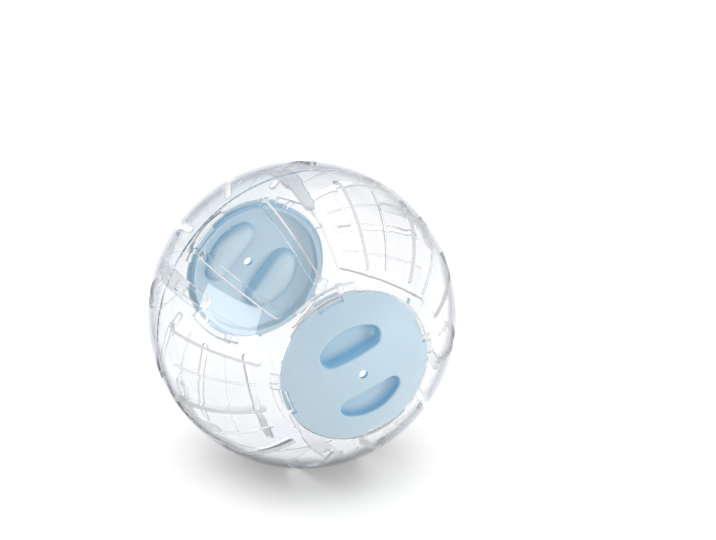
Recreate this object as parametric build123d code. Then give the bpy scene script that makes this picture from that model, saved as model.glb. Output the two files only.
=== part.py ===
from build123d import *
from math import acos, asin, cos, degrees, radians, sin, sqrt
import os

# A hamster ball: two identical clear half shells that snap together at the equator, and two identical
# twist-lock doors at the poles. Millimetres and degrees.
# The ball's centre is the origin. The door axis lies along Y, with the front door towards -Y and Z up.
# Each piece is drawn once with its door pole towards +Z, then placed as the front and the rear copy.

# Ball and shell wall
ball_diameter = 145.0
shell_wall = 1.8
seam_bevel = 0.4
# How far the ball has rolled from the pose in which the front door's grip bar lies level
rest_roll = 20.5

# Clearances
running_gap = 0.3
clip_gap = 0.25
overrun = 3.0

# Door
door_radius = 36.0
door_wall = 2.0
door_sink = 0.3
rim_overlap = 2.4
rim_round = 0.5
pivot_hole_diameter = 4.2

# Door skirt and bayonet lugs
skirt_wall = 1.8
skirt_lip = 0.8
lug_count = 4
lug_arc = 20.0
lug_reach = 2.0
lug_thickness = 1.7

# Finger recesses in the door, one each side of the grip bar
grip_bar_width = 17.6
recess_radius = 23.4
recess_corner = 5.5
recess_depth = 9.0
recess_draft = 14.0
recess_floor_round = 3.4
recess_mouth_round = 0.9

# Bayonet ring round the shell's door opening
ledge_thickness = 1.5
ledge_arc = 45.0
collar_wall = 2.6
stop_arc = 4.0
stop_height = 1.6

# Air slits and grip ribs, along the meridians
slit_count = 12
slit_width = 3.0
slit_mouth_width = 4.4
seam_land = 12.7
door_land = 6.4
rib_width = 0.9
rib_height = 0.6
rib_inset = 2.4

# Snap clips across the seam
clip_count = 6
clip_width = 8.4
clip_reach = 27.0
clip_head = 8.0
clip_neck_width = 6.0
clip_tip_width = 5.0
tongue_reach = 29.0
tongue_thickness = 1.7
tongue_rim = 2.0
tongue_window = 12.5
hook_width = 3.8
hook_height = 1.3
hook_catch = 7.6
hook_length = 2.6
hook_land = 0.4

# Radii of the concentric spheres that the faces follow
ball_radius = ball_diameter / 2
inner_radius = ball_radius - shell_wall
wall_middle = ball_radius - shell_wall / 2
door_outer = ball_radius - door_sink
door_inner = door_outer - door_wall
ledge_top = door_inner - running_gap
ledge_bottom = ledge_top - ledge_thickness
lug_top = ledge_bottom - running_gap
lug_bottom = lug_top - lug_thickness
skirt_bottom = lug_bottom - skirt_lip
stop_bottom = ledge_bottom - stop_height
tongue_outer = inner_radius - clip_gap
tongue_inner = tongue_outer - tongue_thickness

# Radii about the door axis
skirt_outer = door_radius - rim_overlap
skirt_inner = skirt_outer - skirt_wall
lug_tip = skirt_outer + lug_reach
ledge_inner = skirt_outer + running_gap
pocket_radius = door_radius + running_gap
collar_outer = pocket_radius + collar_wall

# Angles of the patterns, before the ball is rolled
slit_pitch = 360 / slit_count
clip_pitch = 360 / clip_count
own_clip_start = slit_pitch * 5 / 2
mating_clip_start = own_clip_start - clip_pitch
turn_over_line = own_clip_start + clip_pitch / 2
collar_latitude = degrees(acos(collar_outer / ball_radius))
slit_low = degrees((seam_land + slit_mouth_width / 2) / ball_radius)
slit_high = collar_latitude - degrees((door_land + slit_mouth_width / 2) / ball_radius)
rib_low = degrees((seam_land + rib_inset) / ball_radius)
rib_low_at_root = degrees(asin((clip_reach - clip_tip_width / 2) / ball_radius))
rib_low_past_tongue = degrees(asin((tongue_reach + rib_inset) / ball_radius))
rib_high = collar_latitude - degrees((door_land + rib_inset) / ball_radius)
lug_gap_angle = degrees(running_gap / ledge_inner)


def on_sphere(sphere, radius):
    """The point of the profile plane on a sphere, at a radius from the door axis."""
    return Vector(radius, 0, sqrt(sphere**2 - radius**2))


def at_latitude(sphere, latitude):
    """The point of the profile plane on a sphere, at a latitude above the seam."""
    return Vector(sphere * cos(radians(latitude)), 0, sphere * sin(radians(latitude)))


def sphere_arc(sphere, start, end):
    """The arc between two points of the profile plane on one sphere about the centre."""
    middle = (start + end).normalized() * sphere
    return ThreePointArc(start, middle, end)


def rounded_profile(outline, corner):
    """The face inside a closed outline, with one corner rounded as a rim."""
    face = make_face(outline)
    return fillet(face.vertices().sort_by_distance(corner)[0], rim_round)


def spun(profile, start, arc):
    """A profile turned about the door axis through part of a turn."""
    return Rot(0, 0, start) * revolve(profile, Axis.Z, arc)


def round_pattern(piece, start, count):
    """Copies of a piece at even steps about the door axis."""
    return [Rot(0, 0, start + step * 360 / count) * piece for step in range(count)]


def sphere_layer(inside, outside):
    """The hollow ball between two spheres."""
    return Sphere(outside) - Sphere(inside)


def meridian_sector(inside, outside, low, high, width):
    """A slab along a meridian, between two spheres and two latitudes."""
    corners = [at_latitude(inside, low), at_latitude(outside, low)]
    corners += [at_latitude(outside, high), at_latitude(inside, high)]
    outline = Line(corners[0], corners[1]) + sphere_arc(outside, corners[1], corners[2])
    outline += Line(corners[2], corners[3]) + sphere_arc(inside, corners[3], corners[0])
    return extrude(make_face(outline), width / 2, dir=(0, 1, 0), both=True)


def shell_wall_body():
    """The plain half ball, open at the pole with a rounded rim, and bevelled along the outside of the seam."""
    seam_inner = Vector(inner_radius, 0, 0)
    seam_outer = Vector(ball_radius - seam_bevel, 0, 0)
    bevel_top = at_latitude(ball_radius, degrees(seam_bevel / ball_radius))
    mouth_outer = on_sphere(ball_radius, pocket_radius)
    mouth_inner = on_sphere(inner_radius, pocket_radius)
    outline = Line(seam_inner, seam_outer) + Line(seam_outer, bevel_top)
    outline += sphere_arc(ball_radius, bevel_top, mouth_outer) + Line(mouth_outer, mouth_inner)
    outline += sphere_arc(inner_radius, mouth_inner, seam_inner)
    return spun(rounded_profile(outline, mouth_outer), 0, 360)


def bayonet_ledge():
    """One ledge that holds a door lug, hung from the wall by its part of the collar, with its stop rib."""
    plate = [on_sphere(ledge_top, ledge_inner), on_sphere(ledge_top, pocket_radius)]
    plate += [on_sphere(wall_middle, pocket_radius), on_sphere(wall_middle, collar_outer)]
    plate += [on_sphere(ledge_bottom, collar_outer), on_sphere(ledge_bottom, ledge_inner)]
    outline = sphere_arc(ledge_top, plate[0], plate[1]) + Line(plate[1], plate[2])
    outline += sphere_arc(wall_middle, plate[2], plate[3]) + Line(plate[3], plate[4])
    outline += sphere_arc(ledge_bottom, plate[4], plate[5]) + Line(plate[5], plate[0])
    ledge = spun(make_face(outline), -ledge_arc / 2, ledge_arc)

    ledge_middle = (ledge_top + ledge_bottom) / 2
    rib = [on_sphere(ledge_middle, ledge_inner), on_sphere(ledge_middle, collar_outer)]
    rib += [on_sphere(stop_bottom, collar_outer), on_sphere(stop_bottom, ledge_inner)]
    outline = sphere_arc(ledge_middle, rib[0], rib[1]) + Line(rib[1], rib[2])
    outline += sphere_arc(stop_bottom, rib[2], rib[3]) + Line(rib[3], rib[0])
    stop = spun(make_face(outline), -lug_arc / 2 - lug_gap_angle - stop_arc, stop_arc)
    return ledge + stop


def air_slit():
    """The cutter for one slit along a meridian, with round ends, that widens towards the outside."""
    inside = inner_radius - overrun
    outside = ball_radius + overrun
    flare_per_length = (slit_mouth_width - slit_width) / 2 / shell_wall
    narrow = slit_width / 2 - flare_per_length * overrun
    wide = slit_mouth_width / 2 + flare_per_length * overrun
    section = Polyline((inside, -narrow), (outside, -wide), (outside, wide), (inside, narrow), close=True)
    cutter = Rot(0, -slit_high, 0) * revolve(make_face(section), Axis.Y, slit_high - slit_low)
    for latitude in (slit_low, slit_high):
        pole = at_latitude(1, latitude)
        end = Cone(narrow, wide, outside - inside)
        cutter += Plane(pole * ((inside + outside) / 2), z_dir=pole) * end
    return cutter


def grip_rib(low):
    """One thin rib along a meridian, on the inside of the wall."""
    return meridian_sector(inner_radius - rib_height, wall_middle, low, rib_high, rib_width)


def tongue_outline():
    """The round-ended outline of a tongue that hangs below the seam, in the plane across the radius."""
    half_width = clip_width / 2
    side = tongue_reach - half_width
    outline = Polyline((0, -half_width, -side), (0, -half_width, 0), (0, half_width, 0), (0, half_width, -side))
    outline += ThreePointArc((0, half_width, -side), (0, 0, -tongue_reach), (0, -half_width, -side))
    return make_face(outline)


def window_outline():
    """The round-ended opening in a tongue, which leaves a springy loop, in the plane across the radius."""
    length = tongue_reach - tongue_rim - tongue_window
    slot = SlotOverall(length, clip_width - 2 * tongue_rim, rotation=90)
    return Plane.YZ * Pos(0, -tongue_window - length / 2) * slot


def root_outline():
    """The outline of a tongue's root on its own half, from head to neck, in the plane across the radius."""
    head = clip_width / 2
    neck = clip_neck_width / 2
    tip = clip_tip_width / 2
    shoulder = clip_head + head - neck
    side = clip_reach - tip
    outline = Polyline((0, tip, side), (0, neck, shoulder), (0, head, clip_head), (0, head, 0),
                       (0, -head, 0), (0, -head, clip_head), (0, -neck, shoulder), (0, -tip, side))
    outline += ThreePointArc((0, -tip, side), (0, 0, clip_reach), (0, tip, side))
    return make_face(outline)


def across_radius(face):
    """A face through the centre, drawn outwards past the ball."""
    return extrude(face, ball_radius + overrun, dir=(1, 0, 0))


def snap_tongue():
    """A tongue that reaches under the other half, with its root, its window and its hook."""
    root = across_radius(root_outline()) & sphere_layer(tongue_inner, wall_middle)
    tongue = across_radius(tongue_outline()) & sphere_layer(tongue_inner, tongue_outer)
    tongue -= across_radius(window_outline())

    land = hook_catch + hook_land
    heel = hook_catch + hook_length
    foot = sqrt((tongue_outer - tongue_thickness / 2) ** 2 - heel**2)
    crest = sqrt((tongue_outer + hook_height) ** 2 - hook_catch**2)
    hook = Polyline((foot, 0, -hook_catch), (crest, 0, -hook_catch), (crest, 0, -land),
                    (foot, 0, -heel), close=True)
    hook = extrude(make_face(hook), hook_width / 2, dir=(0, 1, 0), both=True)
    return root + tongue + hook


def latch_window():
    """The cutter for the window that the other half's hook drops into."""
    height = hook_length + 2 * clip_gap
    depth = 2 * (shell_wall + overrun)
    window = Box(depth, hook_width + 2 * clip_gap, height)
    return Pos(wall_middle, 0, hook_catch - clip_gap + height / 2) * window


def half_shell():
    """One clear half, with its door pole towards +Z."""
    shell = shell_wall_body()
    shell += round_pattern(bayonet_ledge(), 0, lug_count)
    shell += round_pattern(grip_rib(rib_low), slit_pitch * 3 / 2, clip_count)
    shell += round_pattern(grip_rib(rib_low_at_root), own_clip_start, clip_count // 2)
    shell += round_pattern(grip_rib(rib_low_past_tongue), mating_clip_start, clip_count // 2)
    shell += round_pattern(snap_tongue(), own_clip_start, clip_count // 2)
    shell -= round_pattern(air_slit(), 0, slit_count)
    shell -= round_pattern(latch_window(), mating_clip_start, clip_count // 2)
    return shell


def door_dome():
    """The domed plate of the door with its rim, and the skirt that hangs inside the bayonet ring."""
    rim_outer = on_sphere(door_outer, door_radius)
    rim_inner = on_sphere(door_inner, door_radius)
    skirt_root = on_sphere(door_inner, skirt_outer)
    skirt_foot = on_sphere(skirt_bottom, skirt_outer)
    skirt_heel = on_sphere(skirt_bottom, skirt_inner)
    skirt_inside = on_sphere(door_inner, skirt_inner)
    pole_inner = on_sphere(door_inner, 0)
    pole_outer = on_sphere(door_outer, 0)
    outline = sphere_arc(door_outer, pole_outer, rim_outer) + Line(rim_outer, rim_inner)
    outline += sphere_arc(door_inner, rim_inner, skirt_root) + Line(skirt_root, skirt_foot)
    outline += sphere_arc(skirt_bottom, skirt_foot, skirt_heel) + Line(skirt_heel, skirt_inside)
    outline += sphere_arc(door_inner, skirt_inside, pole_inner) + Line(pole_inner, pole_outer)
    return spun(rounded_profile(outline, rim_outer), 0, 360)


def bayonet_lug():
    """One lug that stands out from the skirt under the shell's ledge."""
    root = skirt_outer - skirt_wall / 2
    corners = [on_sphere(lug_top, root), on_sphere(lug_top, lug_tip)]
    corners += [on_sphere(lug_bottom, lug_tip), on_sphere(lug_bottom, root)]
    outline = sphere_arc(lug_top, corners[0], corners[1]) + Line(corners[1], corners[2])
    outline += sphere_arc(lug_bottom, corners[2], corners[3]) + Line(corners[3], corners[0])
    return spun(make_face(outline), -lug_arc / 2, lug_arc)


def rim_notch():
    """The cutter for the opening in the rim above a lug, through which the lug is moulded."""
    inside = ledge_top
    outside = door_outer + overrun
    reach = door_radius + overrun
    corners = [on_sphere(inside, skirt_outer), on_sphere(outside, skirt_outer)]
    corners += [on_sphere(outside, reach), on_sphere(inside, reach)]
    outline = Line(corners[0], corners[1]) + sphere_arc(outside, corners[1], corners[2])
    outline += Line(corners[2], corners[3]) + sphere_arc(inside, corners[3], corners[0])
    return spun(make_face(outline), -lug_arc / 2 - lug_gap_angle, lug_arc + 2 * lug_gap_angle)


def recess_form(grow):
    """A finger recess as a drafted block with a rounded floor, grown outwards all round by a wall."""
    depth = recess_depth + grow
    near = grip_bar_width / 2 - grow
    far = recess_radius + grow
    beyond_bar = Pos(0, near + far) * Rectangle(2 * far, 2 * far)
    outline = Circle(far) & beyond_bar
    outline = fillet(outline.vertices(), recess_corner + grow)
    mouth = Plane.XY.offset(door_outer)
    block = extrude(mouth * outline, -depth)
    walls = block.faces().filter_by(Axis.Z, reverse=True)
    block = draft(walls, mouth, -recess_draft)
    floor = block.faces().sort_by(Axis.Z)[0]
    return fillet(floor.edges(), recess_floor_round + grow)


def door():
    """One door, with its outside towards +Z and its grip bar along X."""
    dome = door_dome()
    inside = Sphere(door_outer - door_wall / 2)
    pocket = recess_form(door_wall) & inside
    dome += [pocket, Rot(0, 0, 180) * pocket]
    dome += round_pattern(bayonet_lug(), 0, lug_count)
    recess = recess_form(0)
    dome -= [recess, Rot(0, 0, 180) * recess]
    outside = dome.faces().filter_by(GeomType.SPHERE).sort_by(SortBy.AREA)[-1]
    mouths = [edge for wire in outside.inner_wires() for edge in wire.edges()]
    dome = fillet(mouths, recess_mouth_round)
    dome -= round_pattern(rim_notch(), 0, lug_count)
    dome -= Pos(0, 0, door_outer) * Cylinder(pivot_hole_diameter / 2, 2 * (door_wall + overrun))
    return dome


def placed(piece, turned_over):
    """A piece as the front copy, or turned over about a line in the seam plane as the rear copy."""
    if turned_over:
        piece = Rot(0, 0, turn_over_line) * Rot(180, 0, 0) * Rot(0, 0, -turn_over_line) * piece
    return Rot(90, 0, 0) * Rot(0, 0, rest_roll) * piece


half_shell_piece = half_shell()
door_piece = door()
nodes = {
    "front_shell": placed(half_shell_piece, False),
    "rear_shell": placed(half_shell_piece, True),
    "front_door": placed(door_piece, False),
    "rear_door": placed(door_piece, True),
}

os.makedirs("parts", exist_ok=True)
for name, piece in nodes.items():
    export_step(piece, "parts/" + name + ".step")
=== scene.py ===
from math import cos, radians, sin

import bpy
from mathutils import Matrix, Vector


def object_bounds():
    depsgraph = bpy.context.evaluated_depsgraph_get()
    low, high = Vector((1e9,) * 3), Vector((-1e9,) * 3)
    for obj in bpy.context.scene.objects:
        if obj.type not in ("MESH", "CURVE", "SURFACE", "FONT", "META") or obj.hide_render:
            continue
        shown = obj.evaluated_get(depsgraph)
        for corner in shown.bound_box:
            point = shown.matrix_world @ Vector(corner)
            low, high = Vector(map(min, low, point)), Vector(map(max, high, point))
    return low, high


# A clear hamster ball with light blue twist-lock doors, on a white studio floor.
# Lengths are in metres, angles in radians and noise scales per metre.

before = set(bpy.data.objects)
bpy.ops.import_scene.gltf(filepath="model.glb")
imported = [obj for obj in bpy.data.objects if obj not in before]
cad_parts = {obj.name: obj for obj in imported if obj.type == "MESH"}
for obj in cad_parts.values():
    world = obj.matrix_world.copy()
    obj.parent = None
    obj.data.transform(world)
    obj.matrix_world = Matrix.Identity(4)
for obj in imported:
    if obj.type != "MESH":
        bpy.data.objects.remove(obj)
cad_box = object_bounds()

# The ball, read from the frame
ball_low, ball_high = (Vector(corner) for corner in cad_box)
ball_centre = (ball_low + ball_high) / 2
ball_radius = (ball_high.x - ball_low.x) / 2

# The picture, in pixels
picture_width = 716
picture_height = 540
ball_pixel_x = 301.9
ball_pixel_y = 314.1
ball_pixel_radius = 154.0

# The camera
camera_azimuth = radians(-22.3)
camera_elevation = radians(24.0)
camera_distance = 19.0 * ball_radius
sensor_width_mm = 36.0
clip_ratio = 100

# Lamps: azimuth from -Y towards +X, elevation, distance, width, height and power in watts
overhead_lamp = (radians(175), radians(64), 1.2, 3.2, 3.2, 26.0)
right_lamp = (radians(44), radians(6), 1.2, 0.5, 0.3, 5.7)
front_lamp = (radians(-45), radians(10), 1.2, 0.6, 0.3, 2.2)
left_card = (radians(-80), radians(14), 1.0, 0.9, 0.4, 6.5)

# The room: the fill light's strength, and the grey that shows in the plastic by height,
# from 0 straight down to 1 straight up
fill_strength = 0.65
room_greys = ((0.50, 1.0), (0.58, 0.72), (0.70, 0.48), (0.86, 0.48), (1.0, 0.85))

# The floor: its size, its paint, and the glow that keeps it white to the eye and in the plastic
floor_half_side = 6.0
floor_paint = 0.75
mottle_roughness = 0.1
glow_seen = 0.27
glow_in_plastic = 0.2

# Frosted snap clips on the inside of the wall: the angle of one clip of each half, and the side
# that its root is on
clips = ((radians(95.5), -1.0), (radians(35.5), 1.0))
clip_pitch = radians(120)
clip_half_width = 0.0044
clip_root_reach = 0.0275
clip_frosted_reach = 0.0135
clip_outside = 0.0705

# Satin side walls of the slits and ribs, with a painted grey shade that draws their edges as dark
# lines:
# they lean away from the sphere, between the seam and the rings round the doors
side_wall_lean = 0.6
seam_margin = 0.0015
ring_start = 0.058

# Clear plastic: its colours, with a painted grey shade for the side walls, and the roughness that
# each finish adds
clear_body = (0.985, 0.987, 0.992, 1.0)
frosted_grey = 0.97
side_wall_shade_grey = 0.72
haze_roughness = 0.03
frosted_roughness = 0.45
side_wall_roughness = 0.25

# Painted shade at the outline of the ball: a grey see-through tint, by how far the wall turns from
# the eye
outline_shade_start = 0.67
outline_shade_full = 0.84
outline_shade_colour = (0.91, 0.915, 0.925, 1.0)

# Lamps shine straight through the wall above the second height, and not below the first
shade_low = -0.072
shade_high = -0.040

# Rays in the clear wall go straight on after this many bends, as the eye can't follow them further
followed_bends = 4

# Finger recesses: radii from the ball's centre to their mouth and floor, and their reach from
# the door axis
recess_mouth = 0.0718
recess_floor = 0.0688
recess_reach = 0.028

# Painted shade on recess walls: how steep they are where the full painted blue starts and ends,
# and how much of it the walls, the depth and the backs of the walls get
steep_start = 0.15
steep_full = 0.9
wall_shade_share = 0.9
depth_shade_share = 0.12
back_shade_share = 0.8

# Door plastic: two blues that cloud its face, the paler inside, which is painted light, and the
# full blue of recess walls, which is painted shade
face_blues = [(0.3, (0.415, 0.545, 0.625, 1.0)), (0.7, (0.440, 0.570, 0.648, 1.0))]
painted_light_inside_blue = (0.575, 0.715, 0.79, 1.0)
recess_shade_blue = (0.20, 0.46, 0.68, 1.0)
door_roughness = 0.3
cloud_roughness = 0.12
door_coat = 0.8

# Bounces that a ray needs to get through both walls of the ball
ray_bounces = 32


class Wire:
    """A node's output. Operators on wires add Math nodes, and node() adds any other node."""

    def __init__(self, tree, socket=None):
        self.tree = tree
        self.socket = socket

    def node(self, kind, settings=None, sockets=None, output=0):
        """Adds a node, sets its settings and then its sockets, and returns one output."""
        added = self.tree.nodes.new("ShaderNode" + kind)
        for name, value in (settings or {}).items():
            if name == "stops":
                set_stops(added.color_ramp, value)
            else:
                setattr(added, name, value)
        for name, value in (sockets or {}).items():
            if isinstance(value, Wire):
                self.tree.links.new(value.socket, added.inputs[name])
            else:
                added.inputs[name].default_value = value
        return Wire(self.tree, added.outputs[output])

    def math(self, operation, first, second):
        return self.node("Math", {"operation": operation}, {0: first, 1: second})

    def __add__(self, other):
        return self.math("ADD", self, other)

    def __sub__(self, other):
        return self.math("SUBTRACT", self, other)

    def __rsub__(self, other):
        return self.math("SUBTRACT", other, self)

    def __mul__(self, other):
        return self.math("MULTIPLY", self, other)

    def __pow__(self, other):
        return self.math("POWER", self, other)

    def __lt__(self, other):
        return self.math("LESS_THAN", self, other)

    def __gt__(self, other):
        return self.math("GREATER_THAN", self, other)

    def __abs__(self):
        return self.math("ABSOLUTE", self, 0.0)

    __radd__ = __add__
    __rmul__ = __mul__


def set_stops(ramp, stops):
    """Gives a colour ramp its stops, as (place, colour) pairs in order."""
    for place, colour in stops[len(ramp.elements):]:
        ramp.elements.new(place)
    for element, (place, colour) in zip(ramp.elements, stops):
        element.position = place
        element.color = colour


def grey(level):
    """An opaque grey colour."""
    return (level, level, level, 1.0)


def new_material(name):
    """An empty node material, and a wire in its tree to build from."""
    material = bpy.data.materials.new(name)
    material.use_nodes = True
    material.node_tree.nodes.clear()
    return material, Wire(material.node_tree)


def set_output(start, surface, volume=None, kind="OutputMaterial"):
    """Ends a tree in its output node."""
    links = {"Surface": surface}
    if volume:
        links["Volume"] = volume
    output = start.tree.nodes.new("ShaderNode" + kind)
    for name, wire in links.items():
        start.tree.links.new(wire.socket, output.inputs[name])


def mixed(start, share, first, second):
    """The first colour where the share is 0, and the second where it is 1."""
    return start.node("Mix", {"data_type": "RGBA"}, {0: share, 6: first, 7: second}, output=2)


def graded(start, value, none, full):
    """0 at one value, 1 at another, even between them and level beyond."""
    return start.node("MapRange", None, {"Value": value, 1: none, 2: full, 3: 0.0, 4: 1.0})


def along_axis(start, vector, axis):
    """A vector's X, Y or Z."""
    return start.node("SeparateXYZ", None, {"Vector": vector}, output=axis)


def noise(start, place, scale, detail):
    """Even noise over a surface, around a half."""
    return start.node("TexNoise", None, {"Vector": place, "Scale": scale, "Detail": detail})


def ray_is(start, *kinds):
    """1 for a ray of any of these kinds, and 0 for others."""
    first, *others = (start.node("LightPath", output="Is %s Ray" % kind) for kind in kinds)
    for other in others:
        first = start.math("MAXIMUM", first, other)
    return first


def frosted_clips(start, place):
    """1 on the snap clips, from the root to the window in the tongue, and 0 elsewhere."""
    x, y, z = (along_axis(start, place, axis) for axis in "XYZ")
    from_axis = (x * x + z * z) ** 0.5
    from_centre = (from_axis * from_axis + y * y) ** 0.5
    half_pitch = clip_pitch / 2
    frost = 0.0
    for angle, root_side in clips:
        turn = start.math("ARCTAN2", z, x) - angle
        turn = start.node("Math", {"operation": "WRAP"}, {0: turn, 1: half_pitch, 2: -half_pitch})
        across = abs(turn) * from_axis
        along = y * root_side
        reach = (along < clip_root_reach) * (along > -clip_frosted_reach)
        frost += (across < clip_half_width) * reach
    return frost * (from_centre < clip_outside)


def side_walls(start, place):
    """1 on the side walls of the air slits and grip ribs, where grey shade is painted, and 0
    elsewhere.
    """
    normal = start.node("NewGeometry", output="True Normal")
    outward = start.node("VectorMath", {"operation": "NORMALIZE"}, {0: place})
    dot = {"operation": "DOT_PRODUCT"}
    lean = start.node("VectorMath", dot, {0: normal, 1: outward}, output="Value")
    from_seam = abs(along_axis(start, place, "Y"))
    return (abs(lean) < side_wall_lean) * (from_seam > seam_margin) * (from_seam < ring_start)


def clear_plastic():
    """Polished clear polystyrene, wavy and hazy as moulded walls are, with satin clips, and painted
    grey shade on slit walls and at the outline.
    """
    material, start = new_material("clear_plastic")
    place = start.node("TexCoord", output="Object")
    wave = noise(start, place, scale=60.0, detail=1.0)
    haze = noise(start, place, scale=220.0, detail=4.0)
    frost = frosted_clips(start, place)
    sides = side_walls(start, place)
    body = mixed(start, frost, clear_body, grey(frosted_grey))
    roughness = haze * haze_roughness + frost * frosted_roughness + sides * side_wall_roughness
    glass = start.node("BsdfPrincipled", None, {
        # The side walls get a painted grey shade that draws them as dark lines
        "Base Color": mixed(start, sides, body, grey(side_wall_shade_grey)),
        "Roughness": roughness,
        "IOR": 1.5,
        "Transmission Weight": 1.0,
        "Normal": start.node("Bump", None, {"Height": wave, "Strength": 0.045, "Distance": 0.002}),
    })

    # The outline, where a grey see-through tint paints shade as the wall turns from the eye
    facing = start.node("LayerWeight", None, {"Blend": 0.5}, output="Facing")
    edge = graded(start, facing, outline_shade_start, outline_shade_full)
    outline_shade = start.node("BsdfTransparent", None, {"Color": outline_shade_colour})
    wall = start.node("MixShader", None, {0: edge, 1: glass, 2: outline_shade})

    # Rays that go straight through
    high = graded(start, along_axis(start, place, "Z"), shade_low, shade_high)
    deep = start.node("LightPath", output="Ray Depth") > followed_bends
    straight = start.math("MAXIMUM", ray_is(start, "Diffuse", "Shadow") * high, deep)
    clear = start.node("BsdfTransparent", None, {"Color": grey(1.0)})
    surface = start.node("MixShader", None, {0: straight, 1: wall, 2: clear})

    tint = start.node("VolumeAbsorption", None, {
        "Color": (0.73, 0.745, 0.785, 1.0),
        "Density": 36.0,
    })
    set_output(start, surface, tint)
    return material


def painted_door_masks(start, place):
    """Two masks: the inside of a door, where a paler colour paints light, and the steep walls of
    its recesses and inside, where a deeper blue paints shade.
    """
    normal = start.node("NewGeometry", output="Normal")
    lean = along_axis(start, normal, "Y")
    side = along_axis(start, place, "Y")
    from_centre = start.node("VectorMath", {"operation": "LENGTH"}, {0: place}, output="Value")
    from_axis = (from_centre * from_centre - side * side) ** 0.5
    inside = lean * side < 0.0
    steep = 1.0 - abs(lean)
    depth = graded(start, from_centre, recess_mouth, recess_floor)
    # Painted shade: steep recess walls and the depth of a recess get the deeper blue
    outer = graded(start, steep, steep_start, steep_full) * wall_shade_share + depth * depth_shade_share
    shade_mask = (1.0 - inside) * (from_axis < recess_reach) * outer + inside * steep * back_shade_share
    return inside, shade_mask


def door_plastic():
    """Light blue moulded plastic with a fine satin grain, painted light on its inside and painted
    shade on its recess walls.
    """
    material, start = new_material("door_plastic")
    place = start.node("TexCoord", output="Object")
    cloud = noise(start, place, scale=28.0, detail=3.0)
    grain = noise(start, place, scale=2600.0, detail=2.0)
    inside, shade_mask = painted_door_masks(start, place)
    face = start.node("ValToRGB", {"stops": face_blues}, {"Fac": cloud})
    # Painted light: the inside of the doors is paler, to look lit
    both_sides = mixed(start, inside, face, painted_light_inside_blue)
    surface = start.node("BsdfPrincipled", None, {
        # The deeper blue is painted shade on the recess walls
        "Base Color": mixed(start, shade_mask, both_sides, recess_shade_blue),
        "Roughness": cloud * cloud_roughness + door_roughness,
        "IOR": 1.49,
        # The coat is left off where shade is painted
        "Coat Weight": (1.0 - shade_mask) * door_coat,
        "Coat Roughness": 0.35,
        "Coat IOR": 1.6,
        "Subsurface Weight": 0.15,
        "Subsurface Radius": (0.6, 0.9, 1.0),
        "Subsurface Scale": 0.0015,
        "Normal": start.node("Bump", None, {"Height": grain, "Strength": 0.12, "Distance": 0.0002}),
    })
    set_output(start, surface)
    return material


def floor_white():
    """A white floor that looks white to the eye and in the plastic, and keeps its shadows."""
    material, start = new_material("floor_white")
    place = start.node("TexCoord", output="Object")
    mottle = noise(start, place, scale=3.0, detail=2.0)
    paint = start.node("BsdfDiffuse", None, {
        "Color": grey(floor_paint),
        "Roughness": mottle * mottle_roughness,
    })
    in_plastic = ray_is(start, "Glossy", "Transmission")
    strength = ray_is(start, "Camera") * glow_seen + in_plastic * glow_in_plastic
    glow = start.node("Emission", None, {"Color": grey(1.0), "Strength": strength})
    set_output(start, start.node("AddShader", None, {0: paint, 1: glow}))
    return material


def studio_world():
    """White where it is looked at, a grey room in the plastic, and an even fill light."""
    world = bpy.data.worlds.new("studio")
    bpy.context.scene.world = world
    world.use_nodes = True
    world.node_tree.nodes.clear()
    start = Wire(world.node_tree)
    direction = start.node("TexCoord", output="Generated")
    height = along_axis(start, direction, "Z") * 0.5 + 0.5
    stops = [(place, grey(level)) for place, level in room_greys]
    room = start.node("ValToRGB", {"stops": stops}, {"Fac": height})
    fill = start.node("Background", None, {"Color": grey(1.0), "Strength": fill_strength})
    mirrored = start.node("Background", None, {"Color": room, "Strength": 1.0})
    white = start.node("Background", None, {"Color": grey(1.0), "Strength": 1.0})
    in_plastic = ray_is(start, "Glossy", "Transmission")
    light = start.node("MixShader", None, {0: in_plastic, 1: fill, 2: mirrored})
    shown = start.node("MixShader", None, {0: ray_is(start, "Camera"), 1: light, 2: white})
    set_output(start, shown, kind="OutputWorld")


def spherical(azimuth, elevation):
    """The unit vector towards an azimuth, from -Y towards +X, and an elevation."""
    level = cos(elevation)
    return Vector((sin(azimuth) * level, -cos(azimuth) * level, sin(elevation)))


def place_aimed(thing, place, target):
    """Puts a camera or lamp at a place, looking at a target."""
    thing.location = place
    thing.rotation_euler = (target - place).to_track_quat("-Z", "Y").to_euler()
    bpy.context.scene.collection.objects.link(thing)


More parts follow.
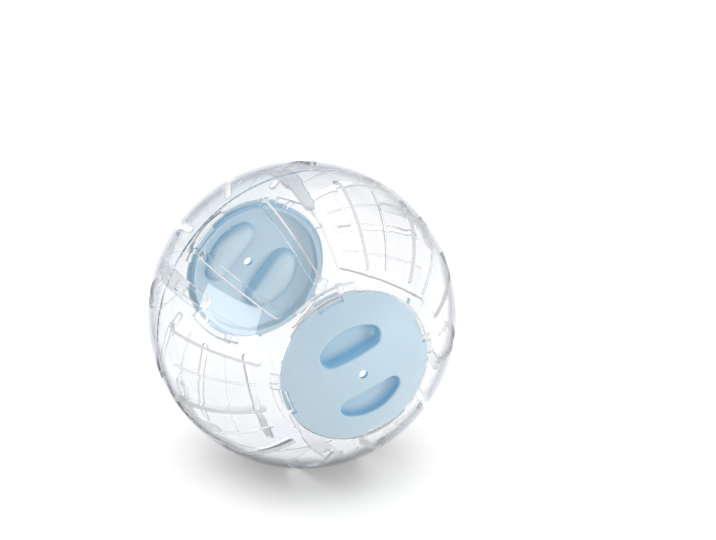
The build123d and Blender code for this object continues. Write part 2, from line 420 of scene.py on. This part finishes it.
def add_camera():
    """The camera of the picture, turned so that the ball lies where the picture has it."""
    data = bpy.data.cameras.new("camera")
    camera = bpy.data.objects.new("camera", data)
    focal = ball_pixel_radius * (camera_distance**2 / ball_radius**2 - 1) ** 0.5
    data.sensor_fit = "HORIZONTAL"
    data.sensor_width = sensor_width_mm
    data.lens = focal / picture_width * sensor_width_mm
    data.clip_start = camera_distance / clip_ratio
    data.clip_end = camera_distance * clip_ratio
    towards = spherical(camera_azimuth, camera_elevation)
    right = Vector((0, 0, 1)).cross(towards).normalized()
    up = towards.cross(right)
    per_pixel = camera_distance / focal
    aim = ball_centre + right * (picture_width / 2 - ball_pixel_x) * per_pixel
    aim += up * (ball_pixel_y - picture_height / 2) * per_pixel
    place_aimed(camera, ball_centre + towards * camera_distance, aim)
    bpy.context.scene.camera = camera


def add_softbox(name, azimuth, elevation, distance, width, height, watts):
    """A rectangular softbox that faces the ball and isn't seen itself."""
    data = bpy.data.lights.new(name, "AREA")
    data.shape = "RECTANGLE"
    data.size = width
    data.size_y = height
    data.energy = watts
    lamp = bpy.data.objects.new(name, data)
    lamp.visible_camera = False
    lamp.visible_transmission = False
    place_aimed(lamp, ball_centre + spherical(azimuth, elevation) * distance, ball_centre)
    return lamp


def add_floor():
    """A wide floor under the ball."""
    side = floor_half_side
    outline = ((-side, -side), (side, -side), (side, side), (-side, side))
    corners = [(x, y, ball_low.z) for x, y in outline]
    mesh = bpy.data.meshes.new("floor")
    mesh.from_pydata(corners, [], [range(len(corners))])
    mesh.materials.append(floor_white())
    floor = bpy.data.objects.new("floor", mesh)
    bpy.context.scene.collection.objects.link(floor)


def add_lamps():
    """Three lamps that light and aren't mirrored, and a card that is only mirrored."""
    lamps = {"overhead": overhead_lamp, "right": right_lamp, "front": front_lamp}
    for name, settings in lamps.items():
        add_softbox(name, *settings).visible_glossy = False
    add_softbox("left_card", *left_card).visible_diffuse = False


def dress(material, *names):
    """Gives CAD nodes a finish."""
    for name in names:
        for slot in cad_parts[name].material_slots:
            slot.material = material


def set_rays():
    """Plain colours, no caustics, and enough bounces for clear walls."""
    scene = bpy.context.scene
    scene.view_settings.view_transform = "Standard"
    scene.cycles.caustics_refractive = False
    scene.cycles.caustics_reflective = False
    scene.cycles.max_bounces = ray_bounces
    scene.cycles.transmission_bounces = ray_bounces
    scene.cycles.transparent_max_bounces = ray_bounces


add_camera()
add_floor()
add_lamps()
studio_world()
dress(clear_plastic(), "front_shell", "rear_shell")
dress(door_plastic(), "front_door", "rear_door")
set_rays()
